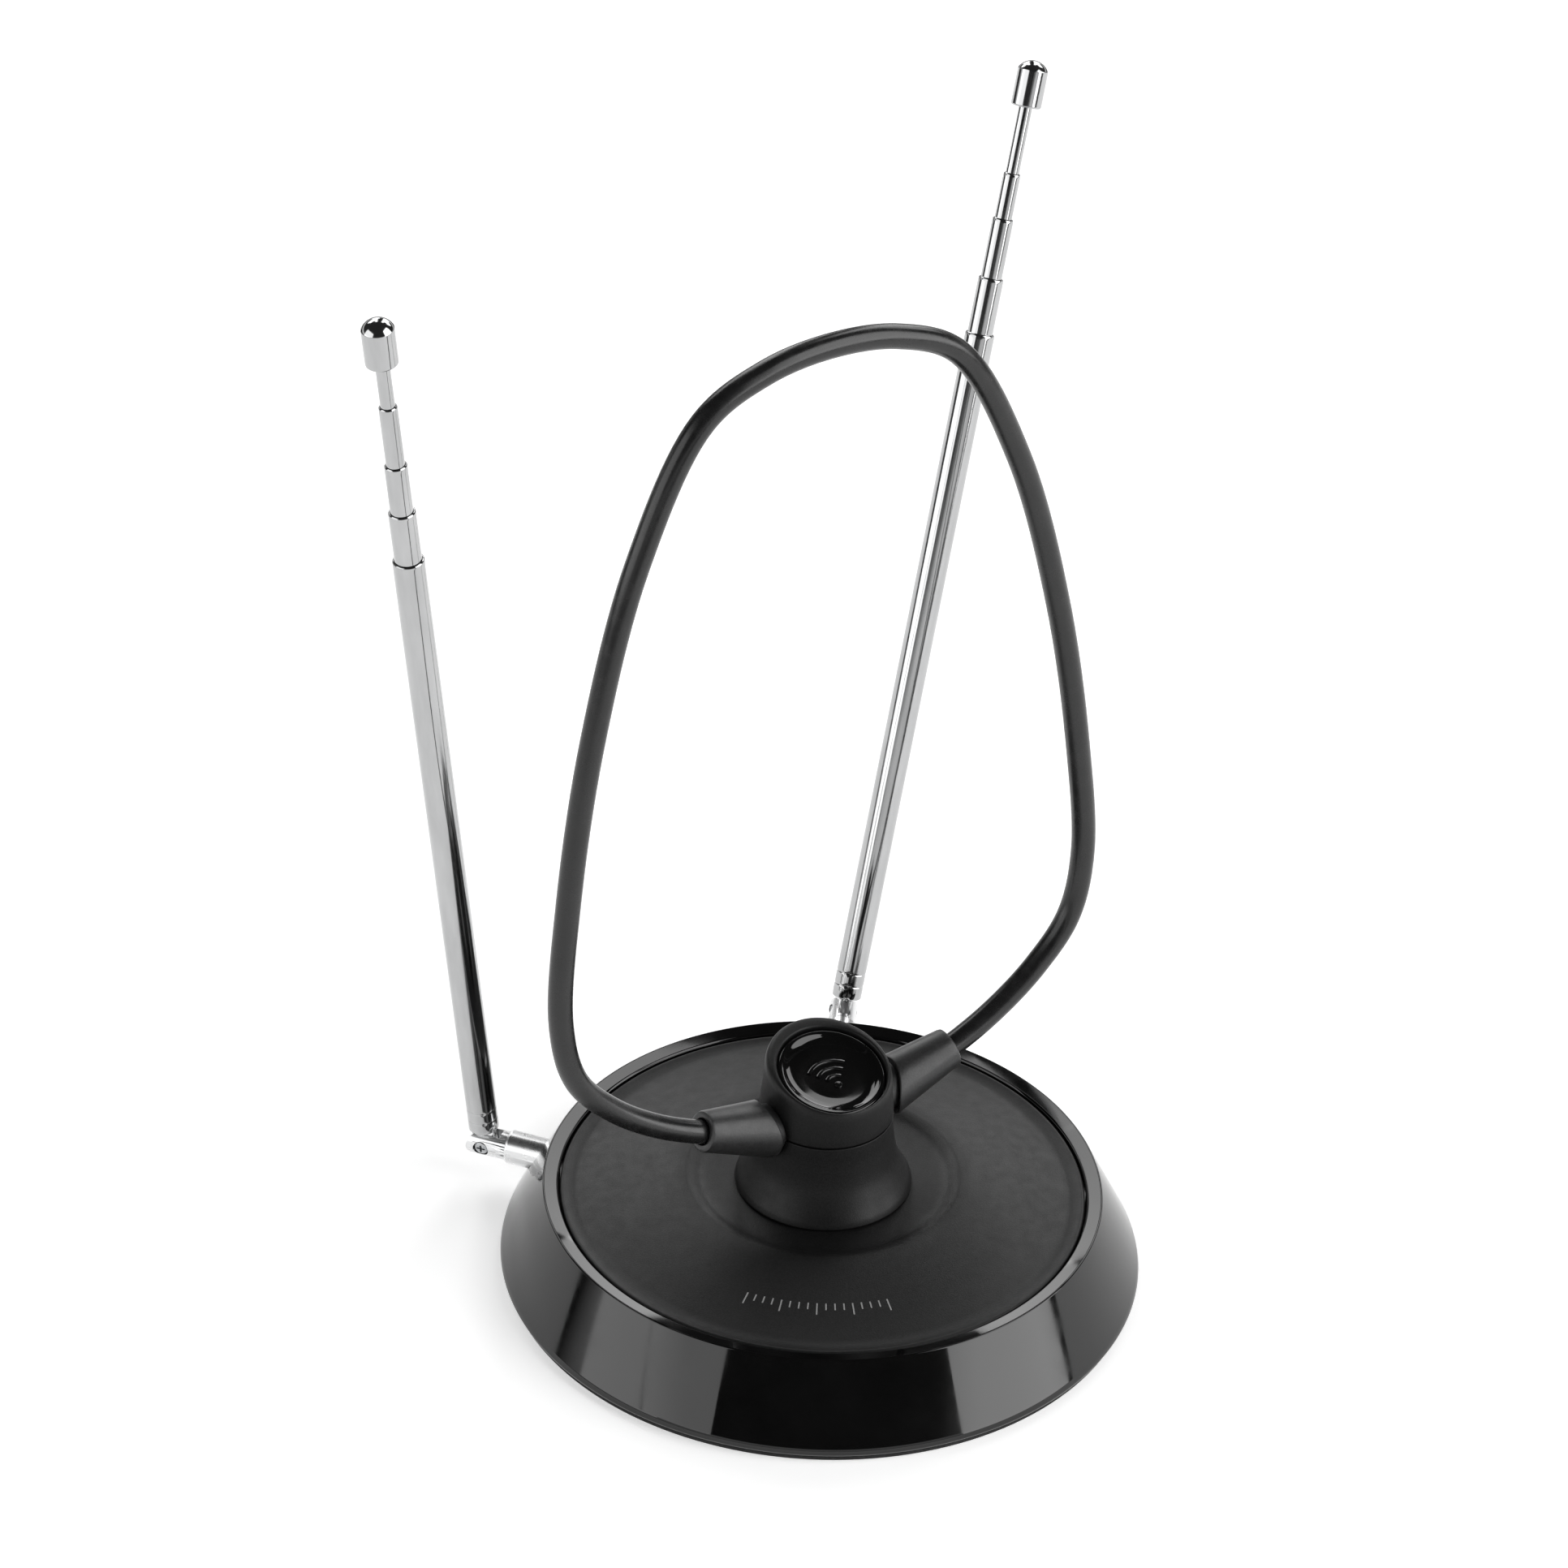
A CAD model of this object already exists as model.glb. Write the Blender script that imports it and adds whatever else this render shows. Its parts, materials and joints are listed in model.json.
"""Looks of an indoor television antenna: camera, studio, fine meshes and materials on the CAD frame.

Shapes are worked out in millimetres and scaled to metres when a mesh is made. Local frames of the head,
the arms, the loop and the two rods are rebuilt from the frame's joints and from a few driving dimensions.
"""

import json
import math

import bpy
from mathutils import Matrix, Vector


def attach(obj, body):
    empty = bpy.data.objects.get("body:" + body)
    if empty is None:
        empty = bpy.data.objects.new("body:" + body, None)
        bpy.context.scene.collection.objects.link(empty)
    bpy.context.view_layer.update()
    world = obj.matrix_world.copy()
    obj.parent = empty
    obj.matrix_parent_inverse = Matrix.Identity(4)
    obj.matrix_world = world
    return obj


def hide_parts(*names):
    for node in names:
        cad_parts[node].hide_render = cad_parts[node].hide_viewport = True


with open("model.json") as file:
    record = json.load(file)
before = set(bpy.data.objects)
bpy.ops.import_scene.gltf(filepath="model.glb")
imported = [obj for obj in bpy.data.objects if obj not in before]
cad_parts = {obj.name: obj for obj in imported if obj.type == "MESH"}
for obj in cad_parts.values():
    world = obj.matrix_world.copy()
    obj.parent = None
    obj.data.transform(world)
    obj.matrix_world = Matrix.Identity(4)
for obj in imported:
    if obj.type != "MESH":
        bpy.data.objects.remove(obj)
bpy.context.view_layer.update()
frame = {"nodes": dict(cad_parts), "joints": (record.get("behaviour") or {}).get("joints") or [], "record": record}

# Material slot of each CAD node.
record = {s["node"]: s["material_slot"] for s in frame["record"]["subparts"]}

MM = 0.001
Z_AXIS = Vector((0, 0, 1))
ORIGIN = Matrix.Identity(4)

# ---------- driving dimensions, in millimetres and degrees ----------
RIM_RADIUS = 75.0
LIP_RADIUS = 65.15
DISC_RADIUS = 61.2
DISH_RADIUS = 31.5
DISH_FLOOR = 23.2
CROWN_TOP = 25.0
KNUCKLE_AZIMUTHS = (162, 88)
GLAND_AZIMUTH = 68
GLAND_HEIGHT = 8.3
GLAND_RADIUS = 3.6
PIVOT_HEIGHT = 9.9
KNUCKLE_RADIUS = 4.1
PEDESTAL_TURN = 34
SKIRT_RADIUS = 20.7
NECK_RADIUS = 15.6
HEAD_TOP_RADIUS = 14.4
SEAM_HEIGHT = 43.1
SEAM_GAP = 0.3
HEAD_TOP_HEIGHT = 60
FACE_HEIGHT = 56.2
FACE_TILT = 15.9
BADGE_RADIUS = 12.6
BADGE_DROP = 1.8
BADGE_SEAT = -2.4
ARM_SLOPE = 16.5
ARM_TIP_REACH = 34.0
ARM_TIP_HEIGHT = 49.1
ARM_TIP_RADIUS = 4.75
ARM_ROOT_REACH = 12.0
ARM_ROOT_RADIUS = 7.4
STUB_REACH = 13.6
STUB_RADIUS = 5.5
SHEATH_RADIUS = 2.8
LOOP_LEAN = 3.4
LOOP_TOP = 189.5
TONGUE_HALF_WIDTH = 2.7
SCREW_BORE_RADIUS = 1.45
STAGE_RADII = (3.62, 3.1, 2.58, 2.11, 1.64)
TUBE_WALL = 0.3
SLIDE_GAP = 0.1
GROOVE_HEIGHTS = (8.0, 11.2)
DIMPLE_TURN = {"left": 30, "rear": 81}
CAP_RADIUS = 3.7
CAP_CLEARANCE = 0.06
DOME_HEIGHT = 2.2

# ---------- camera and studio, in metres and degrees ----------
CAMERA_PLACE = (0, -1.0472, 0.8151)
CAMERA_PITCH = 33.11
CAMERA_YAW = 0.70
CAMERA_ROLL = 2.32
CAMERA_LENS = 129.14
BOX_DISTANCE = 2.75
LEFT_RADIANCE = 1.85
RIGHT_RADIANCE = 3.5
BACK_RADIANCE = 3.2
FLOOR_SIZE = 2.4
HORIZON_BAND = (1.5, 11)
HORIZON_BRIGHTNESS = 0.82
WALL_BRIGHTNESS = 0.03


def make_camera():
    """Camera in front of the antenna, looking down on it."""
    data = bpy.data.cameras.new("camera")
    data.sensor_width = 36
    data.lens = CAMERA_LENS
    data.clip_start = 0.05
    data.clip_end = 50
    camera = bpy.data.objects.new("camera", data)
    turn = turned(CAMERA_YAW) @ turned(90 - CAMERA_PITCH, "X") @ turned(CAMERA_ROLL)
    camera.matrix_world = Matrix.Translation(CAMERA_PLACE) @ turn
    bpy.context.scene.collection.objects.link(camera)
    bpy.context.scene.camera = camera


def softbox(name, sector, band, radiance):
    """Upright rectangular light that fills a sector of azimuth and a band of elevation, in degrees.

    Azimuth 0 is the front, positive to the right.
    """
    middle = math.radians(sum(sector) / 2)
    half = math.radians((sector[1] - sector[0]) / 2)
    low, high = (BOX_DISTANCE * math.tan(math.radians(elevation)) for elevation in band)
    width = 2 * BOX_DISTANCE * math.tan(half)
    tall = high - low
    data = bpy.data.lights.new(name, "AREA")
    data.shape = "RECTANGLE"
    data.size = width
    data.size_y = tall
    data.energy = radiance * math.pi * width * tall
    light = bpy.data.objects.new(name, data)
    outward_way = Vector((math.sin(middle), -math.cos(middle), 0))
    place = outward_way * BOX_DISTANCE + Z_AXIS * (low + high) / 2
    facing = (-outward_way).to_track_quat("-Z", "Y").to_matrix().to_4x4()
    light.matrix_world = Matrix.Translation(place) @ facing
    light.visible_camera = False
    bpy.context.scene.collection.objects.link(light)


def make_world():
    """White backdrop for the camera; for reflections, a white band low on dark studio walls."""
    world = bpy.data.worlds.new("studio")
    bpy.context.scene.world = world
    world.use_nodes = True
    nodes, links = world.node_tree.nodes, world.node_tree.links
    nodes.clear()
    direction = nodes.new("ShaderNodeSeparateXYZ")
    links.new(nodes.new("ShaderNodeTexCoord").outputs["Generated"], direction.inputs[0])
    band = nodes.new("ShaderNodeMath")
    band.operation = "SUBTRACT"
    low, high = HORIZON_BAND
    fade_below, fade_above = 1.5, 1.0
    steps = ((high, HORIZON_BRIGHTNESS + WALL_BRIGHTNESS, WALL_BRIGHTNESS), (low, HORIZON_BRIGHTNESS, 0))
    for slot, (edge, below, above) in enumerate(steps):
        step = nodes.new("ShaderNodeMapRange")
        step.inputs["From Min"].default_value = math.sin(math.radians(edge - fade_below))
        step.inputs["From Max"].default_value = math.sin(math.radians(edge + fade_above))
        step.inputs["To Min"].default_value = below
        step.inputs["To Max"].default_value = above
        links.new(direction.outputs["Z"], step.inputs["Value"])
        links.new(step.outputs["Result"], band.inputs[slot])
    surroundings = nodes.new("ShaderNodeBackground")
    links.new(band.outputs[0], surroundings.inputs["Strength"])
    surroundings.inputs["Color"].default_value = (1, 1, 1, 1)
    backdrop = nodes.new("ShaderNodeBackground")
    backdrop.inputs["Color"].default_value = (1, 1, 1, 1)
    mix = nodes.new("ShaderNodeMixShader")
    out = nodes.new("ShaderNodeOutputWorld")
    links.new(nodes.new("ShaderNodeLightPath").outputs["Is Camera Ray"], mix.inputs["Fac"])
    links.new(surroundings.outputs[0], mix.inputs[1])
    links.new(backdrop.outputs[0], mix.inputs[2])
    links.new(mix.outputs[0], out.inputs["Surface"])


def make_studio():
    """Softboxes that stand around the antenna and give clear streaks on gloss and chrome."""
    make_world()
    softbox("front_left", (-88, -32), (9.3, 41), LEFT_RADIANCE)
    softbox("low_left", (-88, -50), (3.5, 9.3), LEFT_RADIANCE)
    softbox("front_right", (49, 101), (0.5, 56), RIGHT_RADIANCE)
    back_steps = (
        ("low", (157, 175.5), (16.5, 27.6)),
        ("middle", (133, 170.5), (27.6, 45)),
        ("high", (154, 167.5), (44.2, 57)),
    )
    for name, sector, band in back_steps:
        softbox(f"back_right_{name}", sector, band, BACK_RADIANCE)
        softbox(f"back_left_{name}", (-sector[1], -sector[0]), band, BACK_RADIANCE)
    bpy.context.scene.view_settings.view_transform = "Standard"
    bpy.ops.mesh.primitive_plane_add(size=FLOOR_SIZE)
    floor = bpy.context.object
    floor.name = "floor"
    floor.data.materials.append(paper_white())


# ---------- materials ----------
class Look:
    """A node material with a Principled shader, in object coordinates that a grain may turn first."""

    def __init__(self, name, roughness, metallic=0.0, grain=None, **fixed):
        self.material = bpy.data.materials.new(name)
        self.material.use_nodes = True
        self.tree = self.material.node_tree
        self.shader = self.tree.nodes["Principled BSDF"]
        self.shader.inputs["Roughness"].default_value = roughness
        self.shader.inputs["Metallic"].default_value = metallic
        for socket, value in fixed.items():
            self.shader.inputs[socket.replace("_", " ")].default_value = value
        self.place = self.tree.nodes.new("ShaderNodeTexCoord").outputs["Object"]
        if grain is not None:
            mapping = self.node("ShaderNodeMapping", Rotation=grain)
            self.link(self.place, mapping.inputs["Vector"])
            self.place = mapping.outputs["Vector"]

    def node(self, kind, **values):
        """Adds a node and sets its sockets by name."""
        made = self.tree.nodes.new(kind)
        for name, value in values.items():
            made.inputs[name.replace("_", " ")].default_value = value
        return made

    def link(self, source, target):
        self.tree.links.new(source, target)

    def stretched(self, scale):
        """Object coordinates scaled along each axis."""
        mapping = self.node("ShaderNodeMapping", Scale=scale)
        self.link(self.place, mapping.inputs["Vector"])
        return mapping.outputs["Vector"]

    def noise(self, size_mm, detail=3.0, stretch=(1, 1, 1)):
        """Noise whose features are about size_mm across, stretched along an axis by a stretch below 1."""
        made = self.node("ShaderNodeTexNoise", Scale=1 / (size_mm * MM), Detail=detail, Roughness=0.55)
        self.link(self.stretched(stretch), made.inputs["Vector"])
        return made.outputs["Fac"]

    def colour(self, value, dark, light, start=0.3, end=0.7):
        """Colours the surface from dark to light along a value."""
        ramp = self.tree.nodes.new("ShaderNodeValToRGB")
        ramp.color_ramp.elements[0].position = start
        ramp.color_ramp.elements[0].color = (*dark, 1)
        ramp.color_ramp.elements[1].position = end
        ramp.color_ramp.elements[1].color = (*light, 1)
        self.link(value, ramp.inputs["Fac"])
        self.link(ramp.outputs["Color"], self.shader.inputs["Base Color"])

    def roughness(self, value, low, high):
        """Roughens the surface from low to high along a value."""
        made = self.node("ShaderNodeMapRange", From_Min=0.3, From_Max=0.7, To_Min=low, To_Max=high)
        self.link(value, made.inputs["Value"])
        self.link(made.outputs["Result"], self.shader.inputs["Roughness"])

    def bump(self, *layers):
        """Stacks bump layers, each a height output and its depth in millimetres."""
        normal = None
        for height, depth in layers:
            made = self.node("ShaderNodeBump", Strength=1.0, Distance=depth * MM)
            self.link(height, made.inputs["Height"])
            if normal is not None:
                self.link(normal, made.inputs["Normal"])
            normal = made.outputs["Normal"]
        self.link(normal, self.shader.inputs["Normal"])


def grey(value):
    """Grey with a trace of blue."""
    return (value, value, value * 1.01)


def paper_white():
    look = Look("paper_white", 0.9, Specular_IOR_Level=0.1, Emission_Color=(1, 1, 1, 1),
                Emission_Strength=0.5)
    look.colour(look.noise(2), (0.87, 0.87, 0.87), (0.88, 0.88, 0.88))
    look.bump((look.noise(0.6), 0.02))
    return look.material


def gloss_black():
    """Polished black moulding: near mirror gloss, faint moulding ripple, a little dust haze."""
    look = Look("gloss_black", 0.05, IOR=1.5)
    look.colour(look.noise(14), grey(0.002), grey(0.004))
    look.roughness(look.noise(9, 5), 0.03, 0.085)
    look.bump((look.noise(22, 1), 0.012), (look.noise(0.5, 2), 0.0004))
    return look.material


def matt_black():
    """Spark-eroded black moulding: fine even grain that catches the light."""
    look = Look("matt_black", 0.5, IOR=1.5, Specular_IOR_Level=0.34)
    look.colour(look.noise(0.45, 2), grey(0.004), grey(0.009))
    look.roughness(look.noise(3, 4), 0.43, 0.5)
    look.bump((look.noise(0.32, 3), 0.035), (look.noise(18, 1), 0.004))
    return look.material


def shell_black():
    """The pedestal's duller black moulding, with the same fine grain."""
    look = Look("shell_black", 0.5, IOR=1.5, Specular_IOR_Level=0.28)
    look.colour(look.noise(0.45, 2), grey(0.003), grey(0.007))
    look.roughness(look.noise(3, 4), 0.42, 0.5)
    look.bump((look.noise(0.32, 3), 0.03), (look.noise(12, 1), 0.004))
    return look.material


def satin_black():
    """Finer, smoother black moulding for the arms, with a brighter sheen."""
    look = Look("satin_black", 0.38, IOR=1.5)
    look.colour(look.noise(0.5, 2), grey(0.014), grey(0.026))
    look.roughness(look.noise(2, 4), 0.32, 0.42)
    look.bump((look.noise(0.4, 3), 0.03), (look.noise(12, 1), 0.004))
    return look.material


def sheath_black():
    """Satin vinyl sleeve with faint drawing lines."""
    look = Look("sheath_black", 0.3, IOR=1.5)
    look.colour(look.noise(5), grey(0.007), grey(0.012))
    look.roughness(look.noise(2.5, 4), 0.22, 0.3)
    look.bump((look.noise(0.5, 2), 0.003), (look.noise(6, 1), 0.01))
    return look.material


def rubber_black():
    look = Look("rubber_black", 0.75, IOR=1.45)
    look.colour(look.noise(1.2), grey(0.018), grey(0.030))
    look.bump((look.noise(0.6, 4), 0.03))
    return look.material


def foam_black():
    """Closed-cell foam with visible small cells."""
    look = Look("foam_black", 0.9, IOR=1.4)
    cells = look.node("ShaderNodeTexVoronoi", Scale=1 / (0.7 * MM))
    look.link(look.place, cells.inputs["Vector"])
    look.colour(cells.outputs["Distance"], grey(0.030), grey(0.018), 0.1, 0.6)
    look.bump((cells.outputs["Distance"], 0.08))
    return look.material


def chrome(rod):
    """Bright plating over a rod's drawn tubes: fine lines along them, small roughness changes."""
    along_rod = rod_frame(rod).to_3x3().inverted().to_euler()
    look = Look(f"chrome_{rod}", 0.08, 1.0, along_rod)
    lines = look.noise(0.25, 2, (1, 1, 0.012))
    look.colour(look.noise(4, 3, (1, 1, 0.2)), (0.43, 0.433, 0.436), (0.50, 0.503, 0.506))
    look.roughness(lines, 0.07, 0.15)
    look.bump((lines, 0.0004), (look.noise(9, 1, (1, 1, 0.3)), 0.002))
    return look.material


def satin_chrome():
    """Bead-blasted plating on turned metal."""
    look = Look("satin_chrome", 0.25, 1.0)
    look.colour(look.noise(1.5, 2), (0.76, 0.763, 0.766), (0.80, 0.803, 0.806))
    look.roughness(look.noise(2, 3), 0.26, 0.3)
    look.bump((look.noise(0.5, 2), 0.0004))
    return look.material


def zinc_steel():
    look = Look("zinc_steel", 0.35, 1.0)
    look.colour(look.noise(0.9, 4), (0.36, 0.37, 0.38), (0.55, 0.56, 0.57))
    look.roughness(look.noise(0.6, 3), 0.25, 0.45)
    look.bump((look.noise(0.3, 2), 0.01))
    return look.material


def cast_iron():
    look = Look("cast_iron", 0.65, 0.8)
    look.colour(look.noise(2.0, 5), grey(0.10), grey(0.22))
    look.bump((look.noise(1.2, 5), 0.15))
    return look.material


def copper_wire():
    look = Look("copper_wire", 0.3, 1.0)
    look.colour(look.noise(1.0, 3), (0.55, 0.26, 0.14), (0.75, 0.42, 0.25))
    look.roughness(look.noise(0.5, 2), 0.22, 0.4)
    look.bump((look.noise(0.4, 2), 0.008))
    return look.material


def board_green():
    """Solder resist over a weave of glass cloth."""
    look = Look("board_green", 0.4)
    weave = look.node("ShaderNodeTexBrick", Scale=900.0)
    look.link(look.place, weave.inputs["Vector"])
    look.colour(look.noise(3), (0.02, 0.09, 0.03), (0.04, 0.14, 0.05))
    look.bump((weave.outputs["Fac"], 0.02))
    return look.material


def ferrite_grey():
    look = Look("ferrite_grey", 0.55)
    look.colour(look.noise(0.5, 4), grey(0.03), grey(0.06))
    look.bump((look.noise(0.3, 4), 0.03))
    return look.material


def nylon_black():
    look = Look("nylon_black", 0.5)
    look.colour(look.noise(2), grey(0.02), grey(0.035))
    look.bump((look.noise(0.8, 2), 0.02))
    return look.material


def print_grey():
    """Pale pad-printed ink, slightly broken at its edges."""
    look = Look("print_grey", 0.6)
    look.colour(look.noise(0.12, 2), (0.16, 0.16, 0.16), (0.34, 0.34, 0.34), 0.35, 0.5)
    look.bump((look.noise(0.3, 2), 0.01))
    return look.material


# ---------- mesh tools ----------
def neighbours(points):
    """Each span of a curve with the points before and after it, one more point being put past each end."""
    padded = [points[0] * 2 - points[1], *points, points[-1] * 2 - points[-2]]
    return zip(padded, padded[1:], padded[2:], padded[3:])


def catmull(points, steps):
    """Smooth curve through points, with steps per span."""
    curve = []
    for a, b, c, d in neighbours(points):
        for i in range(steps):
            t = i / steps
            curve.append(0.5 * (2 * b + (c - a) * t + (2 * a - 5 * b + 4 * c - d) * t * t
                                + (3 * b - a - 3 * c + d) * t ** 3))
    curve.append(points[-1])
    return curve


def rounded(outline, closed, steps=5):
    """Outline of (r, h) or (r, h, fillet) corners, each fillet a curve kept clear of its neighbours."""
    corners = [(Vector(p[:2]), p[2] if len(p) > 2 else 0.0) for p in outline]
    count = len(corners)
    path = []
    for i, (corner, fillet) in enumerate(corners):
        is_end = not closed and i in (0, count - 1)
        if fillet == 0 or is_end:
            path.append(corner)
            continue
        before = corners[i - 1][0] - corner
        after = corners[(i + 1) % count][0] - corner
        size = min(fillet, 0.45 * before.length, 0.45 * after.length)
        for k in range(steps + 1):
            t = k / steps
            bend = before.normalized() * (1 - t) ** 2 + after.normalized() * t ** 2
            path.append(corner + bend * size)
    return path


def loft(name, rings, looped=False, sharp=40):
    """Joins equal rings of points, in millimetres, into one closed mesh, looped or capped at both ends."""
    count = len(rings[0])
    vertices = [p * MM for ring in rings for p in ring]
    faces = []
    spans = len(rings) if looped else len(rings) - 1
    for i in range(spans):
        a, b = i * count, (i + 1) % len(rings) * count
        for j in range(count):
            k = (j + 1) % count
            faces.append((a + j, a + k, b + k, b + j))
    if not looped:
        faces.append(tuple(range(count - 1, -1, -1)))
        last = (len(rings) - 1) * count
        faces.append(tuple(range(last, last + count)))
    mesh = bpy.data.meshes.new(name)
    mesh.from_pydata(vertices, [], faces)
    mesh.validate()
    return finish_mesh(name, mesh, sharp)


def finish_mesh(name, mesh, sharp):
    """Makes an object with outward faces, smooth shading and sharp creases."""
    piece = bpy.data.objects.new(name, mesh)
    bpy.context.scene.collection.objects.link(piece)
    outward(piece)
    mesh.shade_smooth()
    mesh.set_sharp_from_angle(angle=math.radians(sharp))
    weighted = piece.modifiers.new("weighted", "WEIGHTED_NORMAL")
    weighted.keep_sharp = True
    return piece


def outward(piece):
    """Turns the faces out if the mesh is inside out."""
    volume = 0.0
    for face in piece.data.polygons:
        corners = [piece.data.vertices[i].co for i in face.vertices]
        for b, c in zip(corners[1:], corners[2:]):
            volume += corners[0].dot(b.cross(c))
    if volume < 0:
        piece.data.flip_normals()


def lathe(name, outline, sides=160, place=ORIGIN, looped=True, sharp=40):
    """Solid of revolution about Z from (r, h, fillet) corners; if not looped, closed flat at both ends."""
    rings = [ring_at(place, p.x, p.y, sides) for p in rounded(outline, looped)]
    return loft(name, rings, looped, sharp)


def ring_at(place, radius, height, sides):
    """Circle of points about a frame's Z."""
    angles = [2 * math.pi * j / sides for j in range(sides)]
    return [place @ Vector((radius * math.cos(a), radius * math.sin(a), height)) for a in angles]


def combine(piece, tool, operation):
    """Applies a boolean with a tool that is then removed."""
    piece.modifiers.clear()
    change = piece.modifiers.new("combine", "BOOLEAN")
    change.operation = operation
    change.solver = "EXACT"
    change.object = tool
    apply_modifiers(piece)
    bpy.data.objects.remove(tool)


def apply_modifiers(piece):
    """Makes what the modifiers do part of the mesh."""
    graph = bpy.context.evaluated_depsgraph_get()
    graph.update()
    piece.data = bpy.data.meshes.new_from_object(piece.evaluated_get(graph))
    piece.modifiers.clear()


def soften(piece, width, angle=30, sharp=40):
    """Rounds the sharp edges of a machined piece."""
    bevel = piece.modifiers.new("bevel", "BEVEL")
    bevel.width = width * MM
    bevel.segments = 2
    bevel.limit_method = "ANGLE"
    bevel.angle_limit = math.radians(angle)
    apply_modifiers(piece)
    piece.data.shade_smooth()
    piece.data.set_sharp_from_angle(angle=math.radians(sharp))
    piece.modifiers.new("weighted", "WEIGHTED_NORMAL").keep_sharp = True


def box_piece(name, low, high):
    """Tool block between two corners."""
    ring = [(low[0], low[1]), (high[0], low[1]), (high[0], high[1]), (low[0], high[1])]
    rings = [[Vector((x, y, z)) for x, y in ring] for z in (low[2], high[2])]
    return loft(name, rings)


def present(piece, body, material, *replaced):
    """Gives a piece its material and body, and hides the CAD nodes that it stands for."""
    piece.data.materials.clear()
    piece.data.materials.append(material)
    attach(piece, body)
    if replaced:
        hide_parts(*replaced)


def turned(degrees, axis="Z"):
    """Turn about an axis."""
    return Matrix.Rotation(math.radians(degrees), 4, axis)


def radial(azimuth, height, reach=0.0):
    """Frame on the base whose X points outward at the azimuth."""
    return turned(azimuth) @ Matrix.Translation((reach, 0, height))


ALONG_X = turned(90, "Y")
ALONG_Y = turned(-90, "X")


# ---------- base ----------
def make_pad():
    """Foam pad that the antenna stands on."""
    radius, thick, edge = RIM_RADIUS - 1.1, 1.1, 0.35
    piece = lathe("foam_pad", [(0.5, 0), (radius, 0, edge), (radius, thick, edge), (0.5, thick)], 160,
                  looped=False)
    present(piece, "base", materials["foam"], "non_slip_pad")


def make_rim():
    """Sloping outer wall with a rounded lip, a step for the disc, and holes for the stems and lead."""
    piece = lathe("rim", [
        (RIM_RADIUS - 0.8, 1.35, 0.3), (RIM_RADIUS, 2.2, 0.5), (RIM_RADIUS - 0.3, 3.3, 0.6),
        (LIP_RADIUS, 21.65, 0.35), (61.95, 20.97, 0.2), (61.6, 20.5, 0.2), (61.6, 18.2), (59.6, 18.2),
        (59.6, 16.4), (65.1, 16.4, 1), (72.7, 1.35),
    ], 256)
    holes = [(azimuth, PIVOT_HEIGHT, KNUCKLE_RADIUS + 0.3, 55) for azimuth in KNUCKLE_AZIMUTHS]
    holes.append((GLAND_AZIMUTH, GLAND_HEIGHT, GLAND_RADIUS + 0.3, 60))
    for azimuth, height, radius, start in holes:
        tool = lathe("hole", [(0.5, start), (radius, start), (radius, 80), (0.5, 80)], 48,
                     radial(azimuth, height) @ ALONG_X, looped=False)
        combine(piece, tool, "DIFFERENCE")
    soften(piece, 0.12, 50)
    present(piece, "base", materials["gloss"], "rim_ring")


def disc_crown():
    """Profile of the disc's top: a shallow dish, its rounded edge, and a crown falling to the rim."""
    return catmull([Vector(p) for p in (
        (8.2, DISH_FLOOR), (17, 23.22), (23, 23.32), (26.5, 23.55), (28.6, 23.95), (30.2, 24.6),
        (DISH_RADIUS, CROWN_TOP - 0.02), (32.8, CROWN_TOP), (36, 24.6), (44, 22.95), (52, 21.15),
        (57.2, 20.05),
    )], 5)


def disc_top(radius):
    """Height of the disc's upper surface at a radius."""
    crown = disc_crown()
    inner, outer = next((a, b) for a, b in zip(crown, crown[1:]) if a.x <= radius <= b.x)
    return inner.y + (outer.y - inner.y) * (radius - inner.x) / (outer.x - inner.x)


def make_disc():
    """Crowned plate with an upturned edge, hollow underneath."""
    outline = [tuple(p) for p in disc_crown()]
    outline += [(58.3, 20.02), (59.6, 20.3, 0.3), (60.6, 20.6, 0.35), (DISC_RADIUS, 20.3, 0.35),
                (DISC_RADIUS, 18.5), (57, 18.5), (50, 19.3), (31, 22.8), (21, 21.0), (8.2, 20.8)]
    piece = lathe("top_plate", outline, 224)
    present(piece, "base", materials["matt"], "top_disc")


def make_scale_print():
    """Thin printed scale of plain ticks at the front of the disc."""
    half_span, count = 20.0, 17
    inner, long_tick, short_tick, line, lift = 46.0, 3.2, 1.8, 0.32, 0.05
    depth = Z_AXIS * 0.15
    vertices, faces = [], []
    for index in range(count):
        azimuth = math.radians(-90 + half_span * (2 * index / (count - 1) - 1))
        outer = inner + (long_tick if index % 4 == 0 else short_tick)
        across = Vector((-math.sin(azimuth), math.cos(azimuth), 0)) * line / 2
        along = Vector((math.cos(azimuth), math.sin(azimuth), 0))
        low = along * inner + Z_AXIS * (disc_top(inner) + lift)
        high = along * outer + Z_AXIS * (disc_top(outer) + lift)
        base = len(vertices)
        for point in (low - across, low + across, high + across, high - across):
            vertices += [(point - depth) * MM, point * MM]
        faces += [(base, base + 2, base + 4, base + 6), (base + 1, base + 7, base + 5, base + 3)]
        for k in range(4):
            a, b = base + 2 * k, base + 2 * ((k + 1) % 4)
            faces.append((a, a + 1, b + 1, b))
    mesh = bpy.data.meshes.new("scale_print")
    mesh.from_pydata(vertices, [], faces)
    piece = finish_mesh("scale_print", mesh, 30)
    present(piece, "base", materials["print"])


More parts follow.
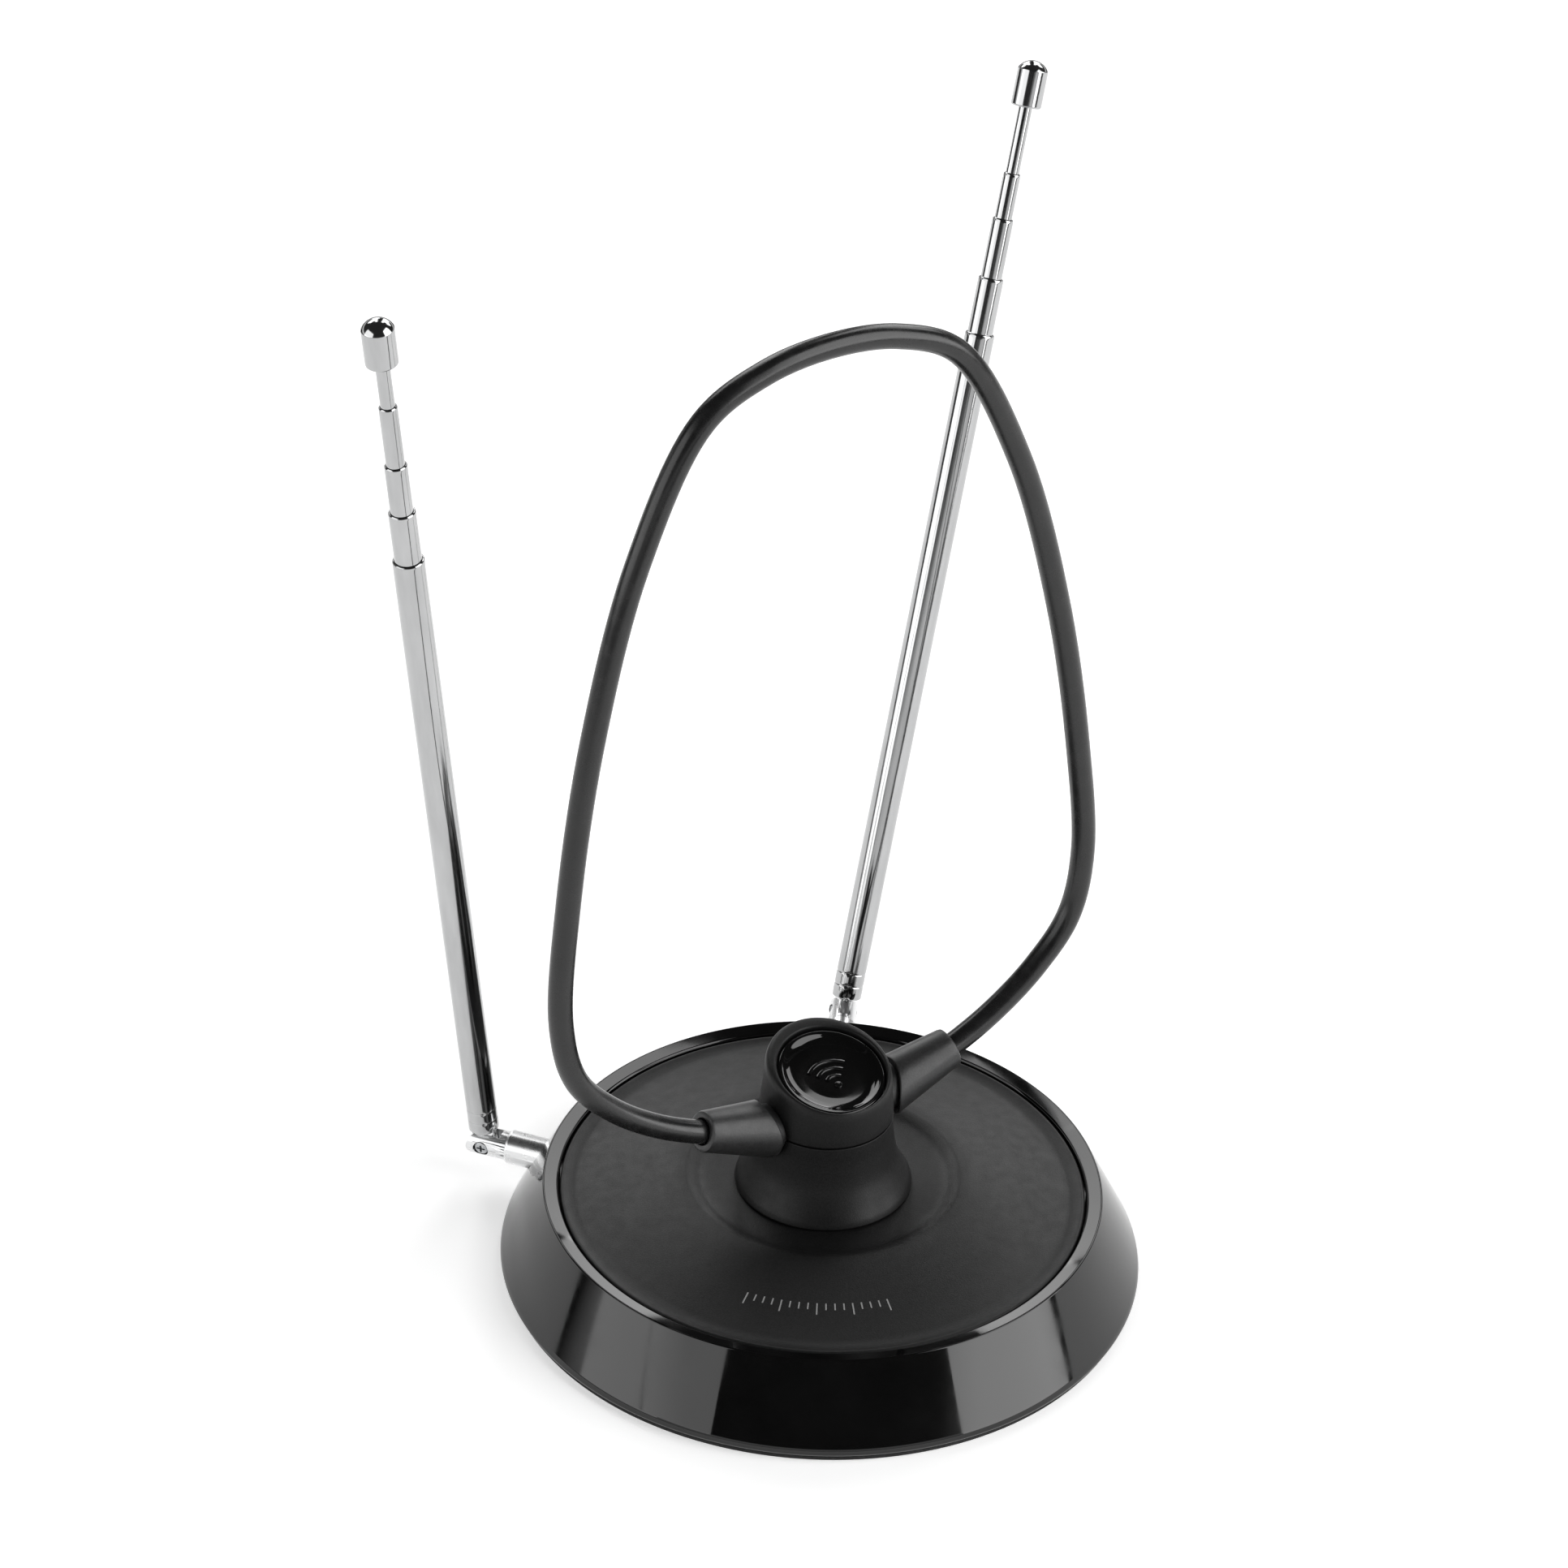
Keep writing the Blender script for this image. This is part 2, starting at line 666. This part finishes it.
def make_gland():
    """Flanged grommet where the lead would leave the rim."""
    piece = lathe("gland", [
        (2.1, -4.5), (GLAND_RADIUS, -4.5), (GLAND_RADIUS, 4.6), (4.3, 4.6, 0.2), (4.3, 5.5, 0.4),
        (3.7, 6.0, 0.4), (2.1, 6.0, 0.4),
    ], 64, radial(GLAND_AZIMUTH, GLAND_HEIGHT, 70) @ ALONG_X)
    present(piece, "base", materials["rubber"], "cable_gland")


# ---------- pedestal ----------
def make_skirt():
    """Flared foot of the pedestal with a spigot that turns in the disc."""
    flare = catmull([Vector(p) for p in (
        (NECK_RADIUS, SEAM_HEIGHT - 0.6), (15.9, 37.6), (16.8, 32.2), (18.5, 28.0), (20.3, 24.9),
    )], 6)
    top = SEAM_HEIGHT - SEAM_GAP / 2
    outline = [(13.4, top), (NECK_RADIUS, top, 0.3)]
    outline += [tuple(p) for p in flare]
    outline += [(SKIRT_RADIUS, 23.6, 0.35), (18.3, 23.6), (15.1, 28.4), (7.9, 28.4), (7.9, 15.6),
                (5.2, 15.6), (5.2, 30.6), (13.4, 30.6)]
    piece = lathe("skirt", outline, 160)
    present(piece, "pedestal", materials["shell"], "pedestal_skirt")


def head_wall(height):
    """Radius of the head's side at a height."""
    share = (height - SEAM_HEIGHT) / (HEAD_TOP_HEIGHT - SEAM_HEIGHT)
    return NECK_RADIUS + (HEAD_TOP_RADIUS - NECK_RADIUS) * share


def face_frame():
    """Frame on the head's oblique face, before the pedestal's turn."""
    return Matrix.Translation((0, 0, FACE_HEIGHT)) @ turned(FACE_TILT, "X")


def face_edge(angle):
    """Point where the oblique face would meet the head's side, before the pedestal's turn."""
    tilt = math.radians(FACE_TILT)
    foreshortened = math.hypot(math.cos(angle), math.sin(angle) * math.cos(tilt))
    reach = NECK_RADIUS
    for _ in range(8):
        height = FACE_HEIGHT + reach * math.sin(angle) * math.sin(tilt)
        reach = head_wall(height) / foreshortened
    return face_frame() @ Vector((reach * math.cos(angle), reach * math.sin(angle), 0))


def badge_well(angle):
    """Section of the recess for the badge, from its floor out to the oblique face."""
    floor, wall = -2.6, BADGE_RADIUS + 0.3
    recess = ((0.5, floor), (wall, floor), (wall, -0.65), (wall + 0.08, -0.3), (wall + 0.27, -0.08),
              (wall + 0.5, 0))
    return [face_frame() @ Vector((r * math.cos(angle), r * math.sin(angle) - BADGE_DROP, height))
            for r, height in recess]


def head_section(angle):
    """Section of the head: badge well, face, soft brow, side and the hollow underneath."""
    brow_reach, brow_drop, brow_steps, side_steps = 2.2, 2.4, 10, 4
    hollow, roof = 13.2, 47.8
    bottom = SEAM_HEIGHT + SEAM_GAP / 2
    low = SEAM_HEIGHT + 0.5
    edge = face_edge(angle)
    across = Vector((edge.x, edge.y, 0)).normalized()

    def side(height, inset=0.0):
        return across * (head_wall(height) - inset) + Z_AXIS * height

    column = badge_well(angle)
    land = edge - column[-1]
    start = column[-1] + land * max(0.05, 1 - brow_reach / land.length)
    end = side(edge.z - brow_drop)
    for k in range(brow_steps + 1):
        t = k / brow_steps
        column.append(start * (1 - t) ** 2 + edge * 2 * t * (1 - t) + end * t ** 2)
    for k in range(1, side_steps + 1):
        column.append(side(end.z + (low - end.z) * k / side_steps))
    column += [side(bottom + 0.1, 0.08), side(bottom, 0.3)]
    for radius, height in ((hollow, bottom), (hollow, roof), (0.5, roof)):
        column.append(across * radius + Z_AXIS * height)
    return column


def make_head():
    """Cap whose oblique face runs over a soft brow into the side."""
    sides = 160
    placed = turned(PEDESTAL_TURN)
    columns = []
    for j in range(sides):
        columns.append([placed @ point for point in head_section(2 * math.pi * j / sides)])
    rings = [list(ring) for ring in zip(*columns)]
    piece = loft("head", rings)
    present(piece, "pedestal", materials["shell"], "head_shell")


def make_badge():
    """Dished glossy badge with a bevelled border."""
    face = turned(PEDESTAL_TURN) @ face_frame() @ Matrix.Translation((0, -BADGE_DROP, 0))
    dish = [tuple(p) for p in catmull([Vector(p) for p in (
        (BADGE_RADIUS - 1.3, -1.03), (BADGE_RADIUS - 2.3, -1.55), (BADGE_RADIUS - 3.6, -1.86),
        (7.4, -1.97), (5.5, -1.99), (0.5, -1.99),
    )], 6)]
    piece = lathe("badge_plate", [
        (0.5, BADGE_SEAT), (BADGE_RADIUS, BADGE_SEAT), (BADGE_RADIUS, -1.05, 0.3),
        (BADGE_RADIUS - 0.5, -0.85, 0.2), (BADGE_RADIUS - 1.1, -0.95, 0.2), *dish,
    ], 160, face, looped=False)
    present(piece, "pedestal", materials["gloss"], "badge")
    make_wave_sign(face)


def make_wave_sign(face):
    """Raised sign of three spreading waves over a dot."""
    low, high, edge = -2.1, -1.6, 0.14
    half_width, spread, steps = 0.45, 42, 28
    centre = face @ Matrix.Translation((0, -3.4, 0))
    profile = [(-half_width, low), (-half_width, high - edge), (-half_width + edge, high),
               (half_width - edge, high), (half_width, high - edge), (half_width, low)]
    for index, radius in enumerate((2.8, 5.0, 7.2)):
        rings = []
        for i in range(steps + 1):
            angle = math.radians(90 - spread + 2 * spread * i / steps)
            across = Vector((math.cos(angle), math.sin(angle), 0))
            rings.append([centre @ (across * (radius + w) + Z_AXIS * h) for w, h in profile])
        present(loft(f"sign_wave_{index + 1}", rings, sharp=60), "pedestal", materials["gloss"])
    dot = lathe("sign_dot", [(0.05, low), (0.9, low), (0.9, high, edge), (0.05, high)], 40,
                centre, looped=False)
    present(dot, "pedestal", materials["gloss"])


def arm_frame(side):
    """X runs outward along the arm from the pedestal's axis."""
    axis_height = ARM_TIP_HEIGHT - ARM_TIP_REACH * math.tan(math.radians(ARM_SLOPE))
    azimuth = PEDESTAL_TURN + (180 if side < 0 else 0)
    return turned(azimuth) @ Matrix.Translation((0, 0, axis_height)) @ turned(-ARM_SLOPE, "Y")


def saddle(place, radius, angle, gap_radius):
    """How far along the arm a line at a radius and angle leaves a cylinder about the pedestal's axis."""
    low, high = 5.0, 30.0
    for _ in range(30):
        middle = (low + high) / 2
        point = place @ Vector((middle, radius * math.cos(angle), radius * math.sin(angle)))
        if math.hypot(point.x, point.y) < gap_radius:
            low = middle
        else:
            high = middle
    return high


def arm_section(place, angle):
    """Reaches and radii of an arm's section, from the stub over the saddle to the tip and back inside."""
    length = ARM_TIP_REACH / math.cos(math.radians(ARM_SLOPE))
    taper = (ARM_TIP_RADIUS - ARM_ROOT_RADIUS) / (length - ARM_ROOT_REACH)
    steps, seat, gap = 6, 7.0, NECK_RADIUS + 1.8
    bore = SHEATH_RADIUS + 0.35

    def skin(reach):
        return ARM_ROOT_RADIUS + taper * (reach - ARM_ROOT_REACH)

    root = saddle(place, seat, angle, gap)
    inner = saddle(place, STUB_RADIUS, angle, gap)
    start, end = root + 0.5, length - 0.8
    section = [(STUB_REACH, STUB_RADIUS), (inner, STUB_RADIUS), (root, skin(root) - 0.5),
               (root + 0.12, skin(root) - 0.17), (start, skin(root))]
    reaches = [start + (end - start) * k / steps for k in range(1, steps + 1)]
    section += [(reach, skin(reach)) for reach in reaches]
    section += [(length - 0.25, ARM_TIP_RADIUS - 0.12), (length, ARM_TIP_RADIUS - 0.6),
                (length, bore + 0.35), (length - 0.1, bore + 0.08), (length - 0.4, bore),
                (STUB_REACH, bore)]
    return section


def make_arm(hand, side):
    """Tapered sleeve around the loop's end: a saddle follows the neck and a stub runs into the head."""
    place = arm_frame(side)
    sides = 72
    columns = []
    for j in range(sides):
        angle = 2 * math.pi * j / sides
        columns.append([place @ Vector((reach, radius * math.cos(angle), radius * math.sin(angle)))
                        for reach, radius in arm_section(place, angle)])
    rings = [list(ring) for ring in zip(*columns)]
    present(loft(f"{hand}_sleeve", rings, looped=True), "pedestal", materials["arm"], f"{hand}_arm")


def loop_route():
    """Centre line of the loop, in its own plane: X along the loop, Y up from the arm tips."""
    slope = math.tan(math.radians(ARM_SLOPE))
    half = [(ARM_TIP_REACH - 7, -7 * slope), (ARM_TIP_REACH, 0), (46, 5.9), (57.5, 14.4), (66.5, 25.2),
            (70, 41), (67.6, 71), (60.8, 110), (49, 150), (32.6, 179.5)]
    half.append((17, LOOP_TOP - 2.2))
    mirrored = [(-x, y) for x, y in reversed(half)]
    return [Vector((x, y, 0)) for x, y in half + [(0, LOOP_TOP)] + mirrored]


def centripetal(points, steps):
    """Centripetal Catmull-Rom curve, as the CAD loop uses."""
    curve = []
    for a, b, c, d in neighbours(points):
        knots = [0.0]
        for p, q in ((a, b), (b, c), (c, d)):
            knots.append(knots[-1] + math.sqrt((q - p).length))
        t0, t1, t2, t3 = knots
        for i in range(steps):
            t = t1 + (t2 - t1) * i / steps
            a1 = a * ((t1 - t) / (t1 - t0)) + b * ((t - t0) / (t1 - t0))
            a2 = b * ((t2 - t) / (t2 - t1)) + c * ((t - t1) / (t2 - t1))
            a3 = c * ((t3 - t) / (t3 - t2)) + d * ((t - t2) / (t3 - t2))
            b1 = a1 * ((t2 - t) / (t2 - t0)) + a2 * ((t - t0) / (t2 - t0))
            b2 = a2 * ((t3 - t) / (t3 - t1)) + a3 * ((t - t1) / (t3 - t1))
            curve.append(b1 * ((t2 - t) / (t2 - t1)) + b2 * ((t - t1) / (t2 - t1)))
    curve.append(points[-1])
    return curve


def make_loop():
    """Round sleeve swept along the loop's route, leaning back a little."""
    place = turned(PEDESTAL_TURN) @ Matrix.Translation((0, 0, ARM_TIP_HEIGHT))
    place = place @ turned(90 - LOOP_LEAN, "X")
    route = centripetal(loop_route(), 12)
    sides = 40
    rings = []
    for index, point in enumerate(route):
        before, after = route[max(index - 1, 0)], route[min(index + 1, len(route) - 1)]
        along = (after - before).normalized()
        across = Vector((along.y, -along.x, 0))
        ring = []
        for j in range(sides):
            angle = 2 * math.pi * j / sides
            offset = across * math.cos(angle) + Z_AXIS * math.sin(angle)
            ring.append(place @ (point + offset * SHEATH_RADIUS))
        rings.append(ring)
    present(loft("loop", rings, sharp=60), "pedestal", materials["sheath"], "loop_sheath")


# ---------- rods ----------
def joint(name):
    """A joint of the frame, by name."""
    return next(j for j in frame["joints"] if j["name"] == name)


def basis(x, y, z, origin):
    """Matrix from three unit axes and an origin in millimetres."""
    rows = [(x[i], y[i], z[i], origin[i]) for i in range(3)]
    return Matrix((*rows, (0, 0, 0, 1)))


def knuckle_frame(rod):
    """X outward along the swivel axis, Y along the tilt axis, origin at the pivot screw."""
    outward_axis = Vector(joint(f"{rod}_swivel")["axis"]).normalized()
    tilt_axis = Vector(joint(f"{rod}_tilt")["axis"]).normalized()
    pivot = Vector(joint(f"{rod}_tilt")["pos_m"]) / MM
    return basis(outward_axis, tilt_axis, outward_axis.cross(tilt_axis), pivot)


def rod_frame(rod):
    """Z along the rod, Y along the tilt axis, origin at the pivot screw."""
    tilt_axis = Vector(joint(f"{rod}_tilt")["axis"]).normalized()
    along = Vector(joint(f"{rod}_draw_1")["axis"]).normalized()
    pivot = Vector(joint(f"{rod}_tilt")["pos_m"]) / MM
    return basis(tilt_axis.cross(along), tilt_axis, along, pivot)


def span(node, place):
    """Lowest and highest reach of a CAD node along a frame's Z, in millimetres."""
    inverse = place.inverted()
    reaches = [(inverse @ (v.co / MM)).z for v in frame["nodes"][node].data.vertices]
    return min(reaches), max(reaches)


def settle(piece, place, body, material, *replaced):
    """Moves a piece's mesh from the frame it was built in to its place."""
    piece.data.transform(Matrix.Translation(place.translation * MM) @ place.to_3x3().to_4x4())
    present(piece, body, material, *replaced)


def make_knuckle(rod):
    """Round barrel on a plain stem, stepping down to a slotted fork with a rounded end."""
    stem_end, barrel_start, barrel_end = -25.7, -16.2, -6.3
    stem_radius, fork_radius, fork_reach, slot_half = 2.35, 3.5, 3.8, 1.5
    piece = lathe("barrel", [
        (0.4, stem_end), (stem_radius, stem_end, 0.3), (stem_radius, barrel_start),
        (KNUCKLE_RADIUS, barrel_start), (KNUCKLE_RADIUS, barrel_end, 0.45),
        (3.3, barrel_end + 0.45), (0.4, barrel_end + 0.45),
    ], 72, ALONG_X, looped=False)
    fork = lathe("fork", [
        (0.4, barrel_end), (fork_radius, barrel_end), (fork_radius, fork_reach), (0.4, fork_reach),
    ], 72, ALONG_X, looped=False)
    end = lathe("end", [(0.4, -5), (fork_reach, -5), (fork_reach, 5), (0.4, 5)], 72, ALONG_Y, looped=False)
    combine(end, box_piece("root", (-12, -5, -5), (0, 5, 5)), "UNION")
    combine(fork, end, "INTERSECT")
    combine(piece, fork, "UNION")
    combine(piece, box_piece("slot", (-4.3, -slot_half, -6), (6, slot_half, 6)), "DIFFERENCE")
    bore = lathe("bore", [
        (0.2, -6), (SCREW_BORE_RADIUS, -6), (SCREW_BORE_RADIUS, 2), (SCREW_BORE_RADIUS, 6), (0.2, 6),
    ], 40, ALONG_Y, looped=False)
    combine(piece, bore, "DIFFERENCE")
    seat = lathe("seat", [(0.2, 2.35), (1.95, 2.35), (1.95, 6), (0.2, 6)], 48, ALONG_Y, looped=False)
    combine(piece, seat, "DIFFERENCE")
    piece.name = f"{rod}_knuckle_body"
    soften(piece, 0.12)
    settle(piece, knuckle_frame(rod), f"{rod}_knuckle", materials["satin"], f"{rod}_knuckle")


def make_pivot_screw(rod):
    """Domed screw with a cross recess."""
    piece = lathe("screw", [
        (0.2, -3.0), (1.2, -3.0, 0.2), (1.2, 2.5), (1.75, 2.5, 0.1), (1.75, 2.95, 0.2),
        (1.3, 3.2, 0.4), (0.2, 3.2),
    ], 64, ALONG_Y, looped=False)
    lobes, sides, middle, swing = 4, 72, 0.72, 0.4
    rings = []
    for height in (2.2, 3.6):
        ring = []
        for j in range(sides):
            angle = 2 * math.pi * j / sides
            radius = middle + swing * math.cos(lobes * angle)
            ring.append(ALONG_Y @ Vector((radius * math.cos(angle), radius * math.sin(angle), height)))
        rings.append(ring)
    combine(piece, loft("recess", rings), "DIFFERENCE")
    piece.name = f"{rod}_screw"
    soften(piece, 0.05)
    settle(piece, knuckle_frame(rod), f"{rod}_knuckle", materials["zinc"], f"{rod}_pivot_screw")


def make_plug(rod):
    """Flat tongue on a round plug that fills the foot of the outer tube."""
    half, thick = TONGUE_HALF_WIDTH, 1.2
    side = [(0.2, -thick), (half, -thick), (half, thick), (0.2, thick)]
    piece = lathe("tongue", side, 56, ALONG_Y, looped=False)
    combine(piece, box_piece("neck", (-half, -thick, 0), (half, thick, 4.9)), "UNION")
    plug = lathe("plug", [(0.2, 4.2), (2.8, 4.2), (3.0, 4.7), (3.0, 13.5), (0.2, 13.5)], 56, looped=False)
    combine(piece, plug, "UNION")
    bore = lathe("bore", [(0.2, -3), (SCREW_BORE_RADIUS, -3), (SCREW_BORE_RADIUS, 3), (0.2, 3)], 40,
                 ALONG_Y, looped=False)
    combine(piece, bore, "DIFFERENCE")
    piece.name = f"{rod}_tongue"
    soften(piece, 0.12)
    settle(piece, rod_frame(rod), f"{rod}_rod", materials["satin"], f"{rod}_plug")


def outer_tube_radius(angle, height, dimple_turn):
    """Outer tube's skin with two crimped grooves and four punched dimples in each."""
    groove_depth, groove_width, dimple_depth, dimple_width = 0.1, 0.15, 0.2, 0.42
    radius = STAGE_RADII[0]
    for groove in GROOVE_HEIGHTS:
        radius -= groove_depth * math.exp(-((height - groove) / groove_width) ** 2)
        for quarter in range(4):
            away = (angle - math.radians(dimple_turn + 90 * quarter) + math.pi) % (2 * math.pi) - math.pi
            distance = math.hypot(away * STAGE_RADII[0], height - groove)
            radius -= dimple_depth * math.exp(-(distance / dimple_width) ** 2)
    return radius


def make_outer_tube(rod):
    """Thick outer tube, crimped on its plug, with a rolled top that guides the next stage."""
    sides = 96
    foot, top = span(f"{rod}_tube_1", rod_frame(rod))
    outer = STAGE_RADII[0]
    inner = outer - TUBE_WALL
    guide = STAGE_RADII[1] + SLIDE_GAP
    crimp = [6.6 + 0.085 * k for k in range(68)]
    angles = [2 * math.pi * j / sides for j in range(sides)]
    rings = [ring_at(ORIGIN, inner, foot, sides), ring_at(ORIGIN, outer - 0.18, foot, sides)]
    for height in (foot + 0.25, *crimp, 30, 60, 90, 120, 150, top - 1.2, top - 0.7):
        ring = []
        for angle in angles:
            radius = outer_tube_radius(angle, height, DIMPLE_TURN[rod])
            ring.append(Vector((radius * math.cos(angle), radius * math.sin(angle), height)))
        rings.append(ring)
    rolled = [(outer - 0.03, 0.35), (outer - 0.09, 0.2), (outer - 0.2, 0.08), (outer - 0.32, 0),
              (guide, 0.04), (guide, 1.5), (inner, 1.6)]
    rings += [ring_at(ORIGIN, radius, top - drop, sides) for radius, drop in rolled]
    piece = loft(f"{rod}_outer_tube", rings, looped=True, sharp=50)
    settle(piece, rod_frame(rod), f"{rod}_rod", materials[f"chrome_{rod}"], f"{rod}_tube_1")


def make_inner_tube(rod, stage):
    """Sliding tube with a widened foot that runs in the tube around it."""
    node = f"{rod}_tube_{stage + 1}"
    foot, top = span(node, rod_frame(rod))
    outer = STAGE_RADII[stage]
    inner = outer - TUBE_WALL
    flare = STAGE_RADII[stage - 1] - TUBE_WALL - SLIDE_GAP
    guide = STAGE_RADII[stage + 1] + SLIDE_GAP
    piece = lathe(f"{rod}_stage_{stage + 1}_tube", [
        (inner, foot), (flare, foot, 0.1), (flare, foot + 6, 0.1), (outer, foot + 6.4, 0.1),
        (outer, top - 0.7, 0.3), (outer - 0.06, top - 0.25, 0.1), (outer - 0.3, top, 0.1),
        (guide, top - 0.04), (guide, top - 1.5), (inner, top - 1.6),
    ], 72, sharp=50)
    settle(piece, rod_frame(rod), f"{rod}_stage_{stage + 1}", materials[f"chrome_{rod}"], node)


def make_tip(rod):
    """Last stage, a thin rod, and the domed cap on it."""
    place = rod_frame(rod)
    foot, top = span(f"{rod}_tip_rod", place)
    radius = STAGE_RADII[4]
    flare = STAGE_RADII[3] - TUBE_WALL - SLIDE_GAP
    wire = lathe(f"{rod}_tip_wire", [
        (0.3, foot), (flare, foot, 0.1), (flare, foot + 6, 0.1), (radius, foot + 6.4, 0.1),
        (radius, top, 0.2), (0.3, top),
    ], 64, looped=False, sharp=50)
    settle(wire, place, f"{rod}_tip", materials[f"chrome_{rod}"], f"{rod}_tip_rod")
    low, high = span(f"{rod}_cap", place)
    high -= CAP_CLEARANCE
    shoulder = high - DOME_HEIGHT
    sphere = (CAP_RADIUS ** 2 + DOME_HEIGHT ** 2) / (2 * DOME_HEIGHT)
    steps = 14
    reaches = [CAP_RADIUS - 0.15 - (CAP_RADIUS - 0.25) * k / steps for k in range(steps + 1)]
    dome = [(r, high - sphere + math.sqrt(sphere ** 2 - r ** 2)) for r in reaches]
    bore, depth = radius + 0.2, 8.4
    cap = lathe(f"{rod}_end_cap", [
        (0.1, low + depth), (bore, low + depth), (bore, low, 0.15), (CAP_RADIUS, low, 0.5),
        (CAP_RADIUS, shoulder, 0.15), *dome,
    ], 96, looped=False, sharp=35)
    settle(cap, place, f"{rod}_tip", materials[f"chrome_{rod}"], f"{rod}_cap")


def make_rod(rod):
    """One telescopic rod with its knuckle."""
    make_knuckle(rod)
    make_pivot_screw(rod)
    make_plug(rod)
    make_outer_tube(rod)
    for stage in (1, 2, 3):
        make_inner_tube(rod, stage)
    make_tip(rod)


# ---------- inner pieces that keep their CAD shape ----------
def dress_inner_nodes():
    """Materials for the pieces inside the base and head, which the closed antenna hides."""
    by_slot = {
        "matt_black": "matt", "zinc_steel": "zinc", "ballast": "iron", "copper": "copper",
        "board": "board", "ferrite": "ferrite", "nylon": "nylon",
    }
    for name, node in frame["nodes"].items():
        if not node.hide_render:
            node.data.materials.clear()
            node.data.materials.append(materials[by_slot[record[name]]])


make_camera()
materials = {
    "gloss": gloss_black(), "matt": matt_black(), "sheath": sheath_black(), "rubber": rubber_black(),
    "arm": satin_black(), "foam": foam_black(), "chrome_left": chrome("left"),
    "chrome_rear": chrome("rear"), "shell": shell_black(), "satin": satin_chrome(), "zinc": zinc_steel(),
    "iron": cast_iron(), "copper": copper_wire(), "board": board_green(), "ferrite": ferrite_grey(),
    "nylon": nylon_black(), "print": print_grey(),
}
make_studio()
make_pad()
make_rim()
make_disc()
make_scale_print()
make_gland()
make_skirt()
make_head()
make_badge()
make_arm("left", -1)
make_arm("right", 1)
make_loop()
for rod_name in ("left", "rear"):
    make_rod(rod_name)
dress_inner_nodes()
